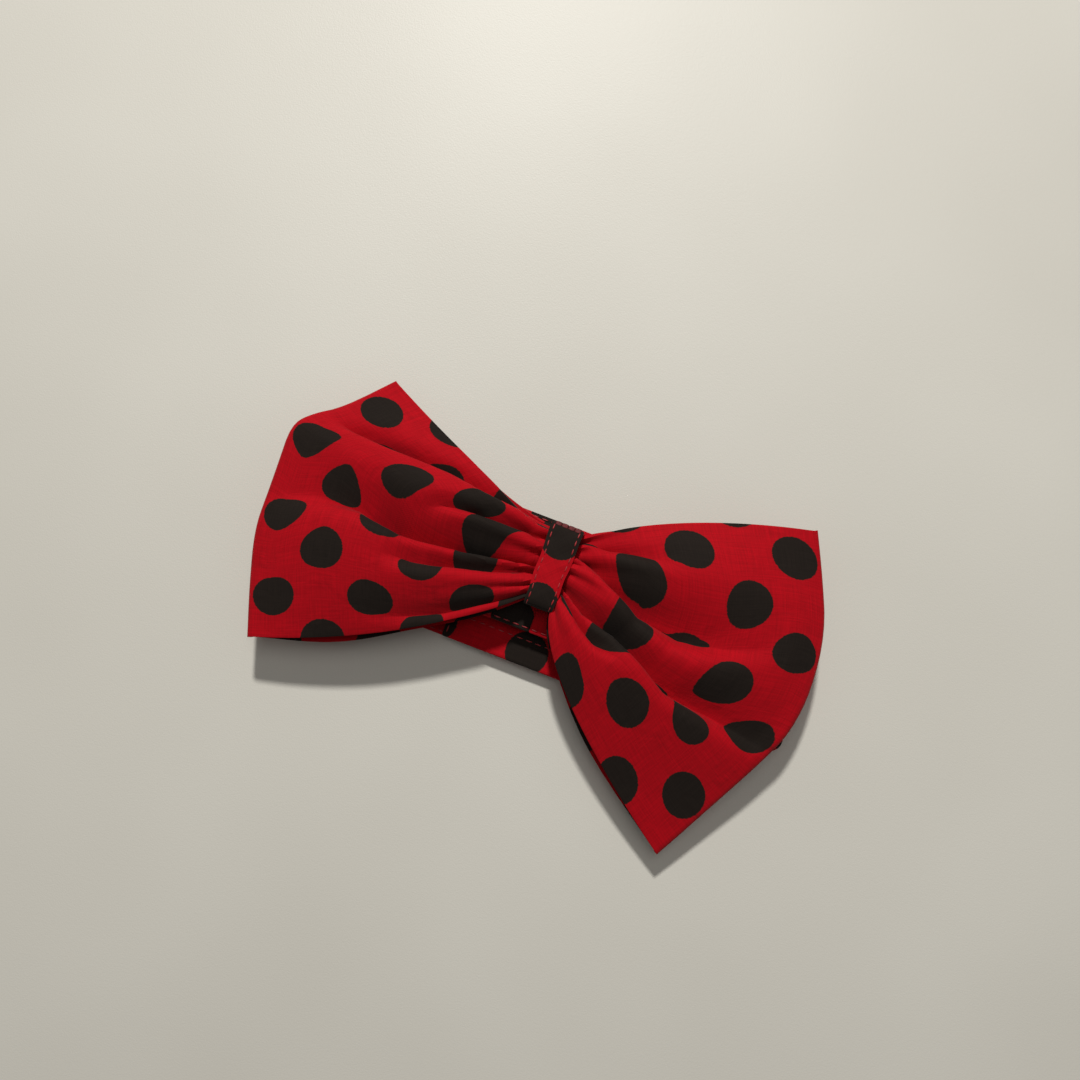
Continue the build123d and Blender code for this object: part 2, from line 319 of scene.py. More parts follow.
thread_red = grained_material("red_thread", (0.20, 0.001, 0.004), (0.36, 0.004, 0.009),
                              0.5, 2500.0, 0.00008, 0.1)
thread_dark = grained_material("dark_red_thread", (0.045, 0.002, 0.003),
                               (0.15, 0.005, 0.008), 0.7, 2500.0, 0.00008)
stiff_white = grained_material("stiffener", (0.62, 0.61, 0.58), (0.78, 0.77, 0.74),
                               0.9, 900.0, 0.0001)
tape_black = grained_material("tape", (0.006, 0.006, 0.007), (0.022, 0.022, 0.024),
                              0.85, 1400.0, 0.0003, 0.25)
print("materials", [m.name for m in bpy.data.materials])

# %% [markdown]
# A piece of cloth starts as a flat grid, is laid on rows of points, and is then given its
# thickness. Its flat coordinates are kept with it, and the print is drawn from them.

# %% Cloth helpers
def lay_cloth(name, places, flat, thickness, material, closed=False, rim=0.3):
    """places: columns x rows x 3 in mm; flat: columns x rows x 2 in mm."""
    columns, rows = places.shape[:2]
    bm = bmesh.new()
    uv = bm.loops.layers.uv.new("cloth")
    bmesh.ops.create_grid(bm, x_segments=columns - 1, y_segments=rows - 1, size=1.0,
                          calc_uvs=False)
    index = {}
    for vertex in bm.verts:
        i = round((vertex.co.x + 1) / 2 * (columns - 1))
        j = round((vertex.co.y + 1) / 2 * (rows - 1))
        index[vertex] = (i, j)
    for face in bm.faces:
        for loop in face.loops:
            loop[uv].uv = flat[index[loop.vert]]
    for vertex, (i, j) in index.items():
        vertex.co = Vector(places[i, j]) * MM
    if closed:
        bmesh.ops.remove_doubles(bm, verts=bm.verts, dist=1e-6)
    bmesh.ops.recalc_face_normals(bm, faces=bm.faces)
    mesh = bpy.data.meshes.new(name)
    bm.to_mesh(mesh)
    bm.free()
    mesh.polygons.foreach_set("use_smooth", [True] * len(mesh.polygons))
    piece = bpy.data.objects.new(name, mesh)
    bpy.context.scene.collection.objects.link(piece)
    piece.data.materials.append(material)
    solid = piece.modifiers.new("thickness", "SOLIDIFY")
    solid.thickness, solid.offset = thickness * MM, 0.0
    solid.use_even_offset = False
    if rim:
        round_off = piece.modifiers.new("rim", "BEVEL")
        round_off.width, round_off.segments = rim * MM, 2
        round_off.limit_method, round_off.angle_limit = "ANGLE", math.radians(62)
    return piece


def running_length(points):
    """Distance along a line of points, from its first."""
    steps = np.linalg.norm(np.diff(points, axis=0), axis=1)
    return np.concatenate([[0.0], np.cumsum(steps)])


# %% [markdown]
# Each wing is a fan: a narrow gathered waist, a curved top edge and a curved bottom edge,
# and the fold at the far end, which runs round an arc. A point on a wing is found from
# `a`, 0 at the waist and 1 at the end fold, and `h`, 0 at the bottom edge and 1 at the top.

# %% Wing outlines
fan_centre = np.array([0.0, -8.0])
outlines = {
    "right": dict(bottom=((4.0, -10.5), (3.5, -27.0)), top=((4.5, 11.0), (30.0, 27.5)),
                  fold=[(55.7, -64.6), (64.6, -46.9), (73.6, -29.3), (78.0, -19.0),
                        (79.4, -6.0), (77.6, 9.9), (71.9, 23.8), (66.0, 36.6)]),
    "left": dict(bottom=((-4.4, -10.8), (-34.0, -36.0)), top=((-4.5, 11.0), (-23.0, 13.5)),
                 fold=[(-72.9, -49.0), (-77.6, -35.4), (-82.0, -20.6), (-82.6, -10.0),
                       (-82.9, 0.0), (-83.4, 11.2), (-79.3, 15.9), (-71.8, 20.9),
                       (-60.9, 33.6)]),
}


def soften(points, times=2):
    """Cuts the corners of a line of points; its two ends stay."""
    points = np.array(points, float)
    for _ in range(times):
        near = points[:-1] * 0.75 + points[1:] * 0.25
        far = points[:-1] * 0.25 + points[1:] * 0.75
        middle = np.stack([near, far], 1).reshape(-1, points.shape[1])
        points = np.vstack([points[:1], middle[1:-1], points[-1:]])
    return points


for shape in outlines.values():
    shape["fold"] = soften(shape["fold"])
    run = running_length(shape["fold"])
    shape["share"] = run / run[-1]


def end_fold(side, h):
    """The line of the end fold, seen from the front."""
    fold, share = outlines[side]["fold"], outlines[side]["share"]
    return np.stack([np.interp(h, share, fold[:, 0]), np.interp(h, share, fold[:, 1])], -1)


def curve(start, pull, end, a):
    return (1 - a) ** 2 * start + 2 * a * (1 - a) * pull + a ** 2 * end


def wing_plan(side, a, h):
    """Where a point of the wing lies, seen from the front."""
    shape = outlines[side]
    bottom, top = (np.array(shape[k]) for k in ("bottom", "top"))
    h1, a1 = h[..., None], a[..., None]
    waist = bottom[0] * (1 - h1) + top[0] * h1
    end = end_fold(side, h)
    swing_bottom = bottom[1] - (bottom[0] + shape["fold"][0]) / 2
    swing_top = top[1] - (top[0] + shape["fold"][-1]) / 2
    pull = (waist + end) / 2 + swing_bottom * (1 - h1) ** 2.5 + swing_top * h1 ** 2.5
    return curve(waist, pull, end, a1)


for side in outlines:
    corners = wing_plan(side, np.array([0.0, 1.0, 1.0, 0.0]), np.array([0.0, 0.0, 1.0, 1.0]))
    print(side, np.round(corners, 1).tolist())

# %% [markdown]
# The gathers open into long soft valleys that run out from the keeper. Each is drawn as a
# line on the wing with its depth and its half width in millimetres. A valley that leans
# slides its floor sideways under the ridge beside it, which makes an overlapping pleat.

# %% Valleys
valleys = {
    "right": [
        dict(line=[(5.1, 6.0), (16.8, 3.0), (28.0, 0.0), (41.0, -2.4), (52.8, -1.6), (66.0, 1.5)],
             depth=[4.5, 9.0, 10.5, 9.6, 6.0, 1.6], half=[1.8, 3.0, 4.6, 6.6, 8.0, 9.0],
             lean=-0.45, hides=[17, 17, 15, 10, 7, 2]),
        dict(line=[(4.2, -2.3), (14.5, -6.7), (25.4, -9.3), (36.1, -13.6), (44.5, -17.9),
                   (57.1, -20.0), (71.0, -23.9)],
             depth=[4.5, 8.0, 10.0, 10.0, 9.2, 7.0, 3.0],
             half=[1.6, 2.4, 3.4, 4.6, 5.6, 7.0, 8.0], lean=-0.6,
             hides=[18, 19, 20, 22, 20, 10, 1]),
        dict(line=[(6.0, -6.2), (13.4, -11.7), (20.0, -15.2), (26.5, -17.4)],
             depth=[3.6, 6.0, 5.0, 0.5], half=[1.3, 2.0, 2.8, 3.4], lean=-0.5,
             hides=[14, 12, 9, 0]),
        dict(line=[(5.4, 10.0), (13.0, 11.2), (24.0, 12.6), (33.0, 13.5)],
             depth=[2.4, 3.4, 2.0, 0.2], half=[1.2, 1.8, 2.6, 3.2], lean=-0.4,
             hides=[10, 10, 9, 0]),
    ],
    "left": [
        dict(line=[(-5.0, 0.2), (-27.7, -1.2), (-43.1, -2.3), (-56.6, -0.9), (-70.0, -3.6),
                   (-81.0, -8.0)],
             depth=[4.8, 9.6, 11.0, 7.4, 3.6, 1.2], half=[1.6, 3.0, 4.4, 5.6, 7.0, 8.0],
             lean=-0.6, hides=[18, 18, 13, 9, 5, 0]),
        dict(line=[(-5.7, -3.4), (-15.3, -6.0), (-25.3, -7.6), (-37.6, -10.8), (-46.0, -13.0)],
             depth=[3.2, 5.6, 6.8, 4.8, 0.6], half=[1.3, 1.9, 2.7, 3.8, 4.4], lean=-0.5,
             hides=[14, 12, 8, 5, 0]),
        dict(line=[(-5.0, 10.2), (-14.0, 12.4), (-24.5, 13.4), (-34.7, 15.1), (-55.1, 15.8),
                   (-62.5, 16.3), (-70.0, 16.6)],
             depth=[2.0, 3.0, 4.0, 4.6, 5.0, 4.0, 1.4], half=[1.0, 1.3, 1.6, 1.9, 2.2, 2.6, 3.2],
             lean=-0.75, hides=[14, 14, 14, 16, 18, 12, 3]),
        dict(line=[(-5.0, 6.2), (-9.8, 7.4), (-24.1, 7.1), (-40.3, 4.6)],
             depth=[3.2, 5.2, 4.6, 0.6], half=[1.2, 1.6, 2.5, 3.4], lean=-0.5,
             hides=[14, 12, 8, 0]),
        dict(line=[(-16.0, -17.5), (-24.0, -22.5), (-34.0, -27.0), (-46.0, -31.0)],
             depth=[1.2, 2.4, 2.2, 0.3], half=[1.4, 2.2, 3.2, 4.0], lean=-0.2,
             hides=[8, 7, 3, 0]),
    ],
}


def on_wing(side, points):
    """Shares a and h of points given as seen from the front."""
    a, h = np.meshgrid(np.linspace(0, 1, 101), np.linspace(0, 1, 141), indexing="ij")
    plan = wing_plan(side, a, h)
    found = []
    for point in points:
        away = np.linalg.norm(plan - np.array(point), axis=-1)
        i, j = np.unravel_index(np.argmin(away), away.shape)
        found.append((a[i, j], h[i, j]))
    return np.array(found)


for side, group in valleys.items():
    for valley in group:
        valley["track"] = on_wing(side, valley["line"])
        print(side, "valley", np.round(valley["track"], 2).tolist())

# %% [markdown]
# The heights: the waist is squeezed flat by the keeper, the crown of each wing stands
# highest a little under half way out, and the end folds come down near the table.
# The back panel lies almost flat on the band.

# %% Wing heights
end_heights = {
    "right": ([0, 0.25, 0.45, 0.8, 1], [8.2, 11.6, 14.2, 14.6, 13.2]),
    "left": ([0, 0.3, 0.67, 0.85, 1], [13.8, 15.6, 17.0, 15.0, 13.2]),
}
back_end_heights = {
    "right": ([0, 0.25, 0.42, 0.8, 1], [6.4, 9.2, 11.0, 11.0, 11.0]),
    "left": ([0, 0.3, 0.67, 0.85, 1], [11.0, 11.2, 11.4, 11.2, 11.0]),
}
waist_front, waist_back, back_rest = 18.2, 12.2, 11.0
crown_pull, edge_pull = 34.0, 18.5
gather_count, gather_height, gather_reach = 9.0, 0.9, 0.16


def front_height(side, a, h):
    middle = 1 - np.abs(2 * h - 1) ** 2.4
    waist = waist_front - 1.6 * np.abs(2 * h - 1) ** 3
    end = np.interp(h, *end_heights[side])
    pull = edge_pull + (crown_pull - edge_pull) * middle
    gathers = gather_height * np.exp(-a / gather_reach)
    ripple = gathers * np.sin(2 * math.pi * gather_count * h + 0.8)
    return curve(waist, pull, end, a) + ripple


def back_height(side, a, h):
    end = np.interp(h, *back_end_heights[side])
    gathers = 0.5 * np.exp(-a / gather_reach)
    ripple = gathers * np.sin(2 * math.pi * gather_count * h)
    return curve(waist_back, back_rest, end, a) + ripple


flank_above, flank_below = 1.30, 0.60
tuck_widths = ([0.55, 0.75, 1.0], [1.2, 12.0, 30.0])


def valley_push(side, a, h, width):
    """Depth and sideways slide of all the valleys at one distance from the waist, and
    how the cloth they swallow adds up from the bottom edge to the top."""
    down, slide, swallowed = np.zeros_like(h), np.zeros_like(h), np.zeros_like(h)
    for valley in valleys[side]:
        track = valley["track"]
        centre = np.interp(a, track[:, 0], track[:, 1])
        depth = np.interp(a, track[:, 0], valley["depth"])
        if a > track[-1, 0]:
            depth *= max(0.0, 1 - (a - track[-1, 0]) / 0.06)
        half = np.interp(a, track[:, 0], valley["half"])
        away = (h - centre) * width / half
        away = np.where(away > 0, away / flank_above, away / flank_below)
        bowl = np.exp(-np.abs(away) ** 1.6)
        down += depth * bowl
        slide += valley["lean"] * depth * bowl
        tuck = np.interp(a, *tuck_widths)
        over = np.clip((h - centre) * width / tuck + 0.5, 0, 1)
        hidden = np.interp(a, track[:, 0], valley["hides"])
        swallowed += hidden * over * over * (3 - 2 * over)
    return down, slide, swallowed


# %% [markdown]
# The bow is one long strip, folded back on itself at both ends and joined at the middle of
# the back. It is laid out here column by column: back left, left fold, front left, waist,
# front right, right fold, back right. The cut is a plain rectangle, 110 wide all along.
# Each column is measured on the smooth wing, without its valleys. What a valley swallows
# is skipped by the print and left out of the cloth, and the back has almost no folds, so
# the cloth here is a good deal less than the cut.

# %% The strip of the bow
cut_width, bow_ply = 110.0, 1.1
rows_across = 124
fine = np.linspace(0, 1, 481)


def distance_inwards(side, panel, shares):
    """How far every point of the smooth wing lies from the end fold, along the strip."""
    height = front_height if panel == "front" else back_height
    lines = []
    for a in shares:
        at = np.full_like(fine, a)
        lines.append(np.column_stack([wing_plan(side, at, fine), height(side, at, fine)]))
    steps = np.linalg.norm(np.diff(np.array(lines), axis=0), axis=2)
    from_end = np.vstack([np.cumsum(steps[::-1], axis=0)[::-1], np.zeros(len(fine))])
    return dict(zip(shares, from_end))


def wing_column(side, panel, a):
    """One line of points across a wing, evenly spread along the cloth."""
    at = np.full_like(fine, a)
    plan = wing_plan(side, at, fine)
    width = np.linalg.norm(plan[-1] - plan[0])
    if panel == "front":
        height = front_height(side, at, fine)
        down, slide, swallowed = valley_push(side, a, fine, width)
    else:
        peek = np.array(back_peek[side])
        wave = 1 + 0.5 * math.sin(9.0 * a + 1.0)
        plan = plan + peek * (math.sin(math.pi * a) * wave * (1 - fine) ** 2)[:, None]
        height = back_height(side, at, fine)
        down, slide, swallowed = (np.zeros_like(fine) for _ in range(3))
    smooth = np.column_stack([plan, height])
    direction = np.gradient(plan, axis=0)
    direction /= np.linalg.norm(direction, axis=1)[:, None]
    plan = plan + direction * slide[:, None]
    floor_level = back_rest + 1.5
    height = np.maximum(height - down, np.minimum(height, floor_level))
    line = np.column_stack([plan, height])
    length = running_length(smooth)
    cloth = length * (cut_width - swallowed[-1]) / length[-1] + swallowed
    even = np.linspace(0, cut_width, rows_across)
    column = [np.interp(even, cloth, line[:, k]) for k in range(3)]
    return np.column_stack([*column, np.interp(even, cloth, way_in[side, panel][a])])


back_peek = {"right": (-0.9, -0.7), "left": (0.3, -1.5)}
front_steps, back_steps, fold_steps = 64, 34, 5
fold_bulge = 1.0
shares_of = {"front": np.linspace(0, 1, front_steps), "back": np.linspace(0, 1, back_steps)}
way_in = {(side, panel): distance_inwards(side, panel, shares)
          for side in outlines for panel, shares in shares_of.items()}


def fold_column(side, turn, front, rear):
    """Between the front's last column and the back's: turn goes 0 to pi."""
    mix = (1 - math.cos(turn)) / 2
    line = front * (1 - mix) + rear * mix
    outward = line[:, :2] - fan_centre
    outward /= np.linalg.norm(outward, axis=1)[:, None]
    gap = np.minimum(np.abs(front[:, 2] - rear[:, 2]) / 2, fold_bulge)
    line[:, :2] += outward * (gap * math.sin(turn))[:, None]
    line[:, 3] = 0.0
    return line


def wing_columns(side):
    fronts = [wing_column(side, "front", a) for a in shares_of["front"]]
    rears = [wing_column(side, "back", a) * (1, 1, 1, -1) for a in shares_of["back"]]
    turns = np.linspace(0, math.pi, fold_steps + 2)[1:-1]
    folds = [fold_column(side, t, fronts[-1], rears[-1]) for t in turns]
    return fronts, folds, rears


def strip_of_bow():
    left_front, left_fold, left_back = wing_columns("left")
    right_front, right_fold, right_back = wing_columns("right")
    order = left_back + left_fold[::-1] + left_front[::-1]
    order += right_front + right_fold + right_back[::-1] + [left_back[0]]
    return np.array(order), len(left_back), len(left_fold), len(left_front)


bow_columns, n_back, n_fold, n_front = strip_of_bow()
bow_places = bow_columns[:, :, :3]
print("bow columns and rows", bow_places.shape[:2])

# %% [markdown]
# The flat coordinates: the distance along the strip is measured from each end fold
# inwards, and the distance across from the middle line. On the right wing the distance is
# eased by a tenth, which draws the dots that much longer there.

# %% Flat coordinates of the bow
print_start = {"left": (-6.5, 13.0), "right": (-6.4, 10.7)}
print_ease = {"left": 1.0, "right": 0.90}


def flat_of_bow(columns):
    flat = np.zeros((*columns.shape[:2], 2))
    over = np.linspace(-cut_width / 2, cut_width / 2, rows_across)
    for i, column in enumerate(columns):
        side = "left" if i < n_back + n_fold + n_front else "right"
        flat[i, :, 0] = column[:, 3] * print_ease[side] + print_start[side][0]
        flat[i, :, 1] = over + print_start[side][1]
    return flat


bow_flat = flat_of_bow(bow_columns)
bow_cloth = lay_cloth("bow_cloth", bow_places, bow_flat, bow_ply, cotton, closed=True)
print("bow cloth", [round(v * 1000, 1) for v in bow_cloth.dimensions])

# %% [markdown]
# A known fault: against the whole cut rectangle the bow has about 0.62 of its cloth and the
# stiffener about 0.61, and the least allowed is 0.70. cut_share says that the cut holds
# three quarters of its rectangle. The three quarters come from no measurement. Both pass
# only through cut_share. The mend is to model the swallowed cloth.

# %% Put the bow in place of its solid plies
strip_reach = float(running_length(bow_places[:, rows_across // 2])[-1])
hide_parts("bow_outer_ply", "bow_inner_ply")
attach(bow_cloth, "bow_and_band_front")
print("strip of the bow, along its middle", round(strip_reach, 1), "mm")

# %% [markdown]
# Inside the sewn tube of the bow lies a thin stiffener, cut a little smaller all round.
# It keeps the wings from collapsing. It is laid on the bow's own points, so a known fault
# is that it crosses the cloth, as the cloth crosses itself: most of all at the keeper, and
# in smaller numbers along the valleys more than half way out.

# %% Stiffener
stiff_inset, stiff_width = 3, 0.104
stiff_places = bow_places[:, stiff_inset:-stiff_inset]
stiffener = lay_cloth("stiffener_sheet", stiff_places, bow_flat[:, stiff_inset:-stiff_inset],
                      0.3, stiff_white, closed=True, rim=0.0)
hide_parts("bow_interfacing")
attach(stiffener, "bow_and_band_front")
print("stiffener", len(stiffener.data.polygons), "faces")

# %% [markdown]
# Stitches are small capsules of thread, one short stitch after another along a line.
# Each is made in its place, lying along the cloth.

# %% Stitch helper
stitch_pitch, stitch_share, thread_width = 2.85, 0.80, 0.42


def one_stitch(bm, centre, along_way, normal, length, width):
    """Adds one squashed capsule of thread."""
    x = Vector(along_way).normalized()
    z = Vector(normal).normalized()
    y = z.cross(x).normalized()
    z = x.cross(y)
    turn = Matrix((x, y, z)).transposed().to_4x4()
    size = Matrix.Diagonal((length / 2 * MM, width / 2 * MM, width * 0.36 * MM, 1))
    place = Matrix.Translation(Vector(centre) * MM)
    bmesh.ops.create_uvsphere(bm, u_segments=6, v_segments=5, radius=1.0,
                              matrix=place @ turn @ size)


def sew(name, lines, material, pitch=stitch_pitch, width=thread_width, share=stitch_share):
    """lines: list of (points, normals), both n x 3 in mm; a stitch every pitch."""
    bm = bmesh.new()
    count = 0
    for points, normals in lines:
        points, normals = np.array(points, float), np.array(normals, float)
        length = running_length(points)
        number = max(1, int(round(length[-1] / pitch)))
        for k in range(number):
            start, stop = (k + 0.5 - share / 2) / number, (k + 0.5 + share / 2) / number
            ends = [np.array([np.interp(f * length[-1], length, points[:, c])
                              for c in range(3)]) for f in (start, stop)]
            up = [np.interp((k + 0.5) / number * length[-1], length, normals[:, c])
                  for c in range(3)]
            sink = np.array(up) / np.linalg.norm(up) * 0.02
            one_stitch(bm, (ends[0] + ends[1]) / 2 - sink, ends[1] - ends[0], up,
                       np.linalg.norm(ends[1] - ends[0]), width)
            count += 1
    bmesh.ops.recalc_face_normals(bm, faces=bm.faces)
    mesh = bpy.data.meshes.new(name)
    bm.to_mesh(mesh)
    bm.free()
    mesh.polygons.foreach_set("use_smooth", [True] * len(mesh.polygons))
    piece = bpy.data.objects.new(name, mesh)
    bpy.context.scene.collection.objects.link(piece)
    piece.data.materials.append(material)
    print(name, count, "stitches")
    return piece


# %% [markdown]
# The keeper is a folded strip wrapped round the waist and closed at the back. Its front
# swells a little, its top is wider than its bottom, and its edges are soft turned folds.

# %% Keeper
keeper_low, keeper_high = (Vector(c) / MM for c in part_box("keeper_strip"))
keeper_half_y = (keeper_high.y - keeper_low.y) / 2
keeper_half_z = (keeper_high.z - keeper_low.z) / 2
keeper_middle_z = (keeper_high.z + keeper_low.z) / 2
keeper_ply = 1.0
keeper_top_half, keeper_bottom_half = 4.75, 4.15
keeper_square = 5.5


def keeper_point(share, turn, out=0.0):
    """share -1 to 1 across the strip, turn 0 to 2 pi round the waist, 0 at the top end."""
    c, s = math.cos(turn), math.sin(turn)
    grow = (abs(c) ** keeper_square + abs(s) ** keeper_square) ** (-1 / keeper_square)
    y = (keeper_half_y - keeper_ply / 2 + out) * c * grow
    z = (keeper_half_z - keeper_ply / 2 + out) * s * grow
    half = np.interp(y, [-keeper_half_y, keeper_half_y], [keeper_bottom_half, keeper_top_half])
    dip = 0.22 * math.sin(y * 0.9 + 1.0) * share * (1 - share * share)
    swell = -0.28 * share ** 4 if s > 0 else 0.0
    return np.array([half * share + 0.12 * math.sin(y * 0.55), y,
                     keeper_middle_z + z + dip + swell])


keeper_rows, keeper_columns = 18, 140
keeper_places = np.array([[keeper_point(2 * j / (keeper_rows - 1) - 1,
                                        2 * math.pi * i / (keeper_columns - 1))
                           for j in range(keeper_rows)] for i in range(keeper_columns)])
keeper_run = running_length(keeper_places[:, keeper_rows // 2])
keeper_dot_y = 8.3
on_front = keeper_places[:, keeper_rows // 2, 2] > keeper_middle_z
dot_at = np.argmin(np.abs(keeper_places[:, keeper_rows // 2, 1] - keeper_dot_y) + 99 * ~on_front)
keeper_along = (keeper_run - keeper_run[dot_at])[:, None]
keeper_across = np.linspace(-keeper_top_half, keeper_top_half, keeper_rows)[None, :] + 0.5
keeper_flat = np.stack([keeper_along + keeper_across, keeper_along - keeper_across], -1)
keeper_flat *= math.sqrt(0.5)
keeper = lay_cloth("keeper", keeper_places, keeper_flat, keeper_ply, cotton, closed=True,
                   rim=0.42)
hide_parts("keeper_strip")
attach(keeper, "bow_and_band_front")
print("keeper goes round", round(float(keeper_run[-1]), 1), "mm")

# %% [markdown]
# Two rows of topstitching run down the keeper near its edges, a thick dark bar tack closes
# its top, and two short tacks underneath hold it to the band.

# %% Keeper stitching
def keeper_line(share, turn_from, turn_to, count=40):
    turns = np.linspace(turn_from, turn_to, count)
    points = [keeper_point(share, t, keeper_ply / 2 + 0.04) for t in turns]
    middles = [keeper_point(share, t, -2.0) for t in turns]
    return points, [np.array(p) - np.array(m) for p, m in zip(points, middles)]


front_top, front_bottom = math.radians(40), math.radians(152)
keeper_rows_sewn = sew("keeper_stitching",
                       [keeper_line(-0.80, front_top, front_bottom),
                        keeper_line(0.80, front_top, front_bottom)], thread_red, pitch=2.5)
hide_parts("keeper_topstitching")
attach(keeper_rows_sewn, "bow_and_band_front")

tack_lines = []
for k in range(13):
    y_turn = math.radians(24 + k * 1.5)
    a, b = (keeper_point(s, y_turn + d, keeper_ply / 2 + 0.06)
            for s, d in ((-0.82, 0.0), (0.86, 0.02)))
    tack_lines.append(([a, b], [(0, 0.25, 1), (0, 0.25, 1)]))
top_tack = sew("keeper_bar_tack", tack_lines, thread_dark, pitch=1.9, width=0.4, share=1.1)
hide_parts("keeper_top_tack")
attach(top_tack, "bow_and_band_front")

tack_low, tack_high = (Vector(c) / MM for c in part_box("keeper_band_tack"))
tack_sink = 0.05
under_lines = []
for y_end in (tack_low.y + 0.4, tack_high.y - 0.4):
    for k in range(4):
        y = y_end + (k - 1.5) * 0.22
        ends = [(x, y, tack_high.z - tack_sink) for x in (tack_low.x, tack_high.x)]
        under_lines.append((ends, [(0, 0, -1), (0, 0, -1)]))
under_tack = sew("keeper_under_tack", under_lines, thread_red, pitch=1.8, width=0.3, share=1.1)
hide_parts("keeper_band_tack")
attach(under_tack, "bow_and_band_front")

# %% [markdown]
# The neck band is one long flat tube of the same cotton, folded into a loop behind the
# bow and fastened on itself. The front pass lies under the bow, turns back at each end in
# a soft roll, and its two arms overlap behind. The rear pass sits lower than the front.
# A known fault: when the arms swing right out, the rolls are squashed and cross themselves.

# %% Band path
band_ply, band_half = 1.1, 16.55
front_level, rear_level = 9.75, 0.55
front_shift, rear_shift = -3.15, -12.95
roll_x, roll_radius, roll_z = 74.6, 4.6, 5.15
arm_over_level, ramp_from, ramp_to = 3.75, 20.0, 29.0


def band_path(sign, arm_end, step=1.6):
    """Centre line of half the band, from under the keeper round the roll to the arm's end."""
    line = [(x, front_level) for x in np.linspace(0, roll_x, 44)]
    for turn in np.linspace(0, math.pi, 17)[1:]:
        line.append((roll_x + roll_radius * math.sin(turn), roll_z + roll_radius * math.cos(turn)))
    span = roll_x - arm_end
    for x in np.linspace(roll_x, arm_end, max(3, int(span / step)))[1:]:
        level = rear_level
        if sign > 0:
            rise = np.clip((ramp_to - x) / (ramp_to - ramp_from), 0, 1)
            level = rear_level + (arm_over_level - rear_level) * rise * rise * (3 - 2 * rise)
        line.append((x, level))
    line = np.array(line)
    run = running_length(line)
    roll_start = roll_x
    roll_stop = roll_x + math.pi * roll_radius
    shift = np.interp(run, [roll_start, roll_stop], [front_shift, rear_shift])
    return np.column_stack([sign * line[:, 0], shift, line[:, 1]]), run


def band_strip(path, run, sign, print_shift, rows=30, sag=0.25):
    """Widens the path into a strip; the cloth waves very slightly along its edges."""
    share = np.linspace(-1, 1, rows)
    places = np.repeat(path[:, None, :], rows, axis=1)
    places[:, :, 1] += share[None, :] * band_half
    wave = sag * np.sin(run[:, None] / 19.0 + sign) * (share[None, :] ** 2)
    on_front = path[:, 2] > roll_z
    places[:, :, 2] -= np.abs(wave) * on_front[:, None]
    flat = np.zeros((len(path), rows, 2))
    flat[:, :, 0] = sign * run[:, None] + print_shift[0]
    flat[:, :, 1] = share[None, :] * band_half + print_shift[1]
    return places, flat


arm_seam, right_arm_end = -40.0, -23.5
left_path, left_run = band_path(-1, -arm_seam)
right_path, right_run = band_path(1, right_arm_end)
left_print, right_print = (5.7, 14.45), (7.2, 12.65)
left_places, left_flat = band_strip(left_path, left_run, -1, left_print)
right_places, right_flat = band_strip(right_path, right_run, 1, right_print)
band_left = lay_cloth("band_left", left_places, left_flat, band_ply, cotton, rim=0.45)
band_right = lay_cloth("band_right", right_places, right_flat, band_ply, cotton, rim=0.45)
print("band halves", round(float(left_run[-1])), round(float(right_run[-1])), "mm long")

# %% [markdown]
# The left arm runs on into the fastening tab, which peels open; that stretch of the band is
# its own piece. A known fault: the tape on the tab stays stiff, so the tab bends through it
# when it is peeled.

# %% Tab
tab_end = 14.0
tab_x = np.linspace(arm_seam, tab_end, 36)
tab_path = np.column_stack([tab_x, np.full_like(tab_x, rear_shift),
                            np.full_like(tab_x, rear_level)])
tab_run = left_run[-1] + (tab_x - arm_seam)
tab_places, tab_flat = band_strip(tab_path, tab_run, -1, left_print)
band_tab = lay_cloth("band_tab", tab_places, tab_flat, band_ply, cotton, rim=0.45)
print("tab", [round(v * 1000, 1) for v in band_tab.dimensions])

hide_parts("band_front", "band_left_arm")
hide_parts("band_right_arm")
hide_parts("fastening_tab")
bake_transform(band_left)
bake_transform(band_right)
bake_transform(band_tab)

# %% [markdown]
# Red topstitching runs just inside every edge of the band and across each squared end.

# %% Band stitching
stitch_inset = 1.05


def edge_line(path, share, lift):
    """A line of stitching on the outer face of a stretch of the band."""
    points = path.copy()
    points[:, 1] += share * (band_half - stitch_inset)
    tangent = np.gradient(path[:, [0, 2]], axis=0)
    normals = np.column_stack([-tangent[:, 1], np.zeros(len(path)), tangent[:, 0]])
    normals /= np.linalg.norm(normals, axis=1)[:, None]
    outer = np.sign(lift) * normals
    return points + outer * abs(lift), outer


def cross_line(x, shift, level, face):
    ends = [(x, shift - band_half + stitch_inset, level),
            (x, shift + band_half - stitch_inset, level)]
    return ends, [(0, 0, face), (0, 0, face)]


lift = band_ply / 2 + 0.03
left_lines = [edge_line(left_path, s, -lift) for s in (-1, 1)]
right_lines = [edge_line(right_path, s, lift) for s in (-1, 1)]
right_lines.append(cross_line(right_arm_end + stitch_inset, rear_shift, arm_over_level + lift, 1))
tab_lines = [edge_line(tab_path, s, f * lift) for s in (-1, 1) for f in (-1, 1)]
tab_lines.append(cross_line(tab_end - stitch_inset, rear_shift, rear_level - lift, -1))
past_roll = 60
left_inner = left_path[past_roll:]
left_lines += [edge_line(left_inner, s, lift) for s in (-1, 1)]
left_sewn = sew("band_left_stitching", left_lines, thread_red)
right_sewn = sew("band_right_stitching", right_lines, thread_red)
tab_sewn = sew("tab_stitching", tab_lines, thread_red)
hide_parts("band_front_topstitching", "left_arm_topstitching")
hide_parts("right_arm_topstitching")
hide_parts("tab_topstitching")
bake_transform(left_sewn)
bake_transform(right_sewn)
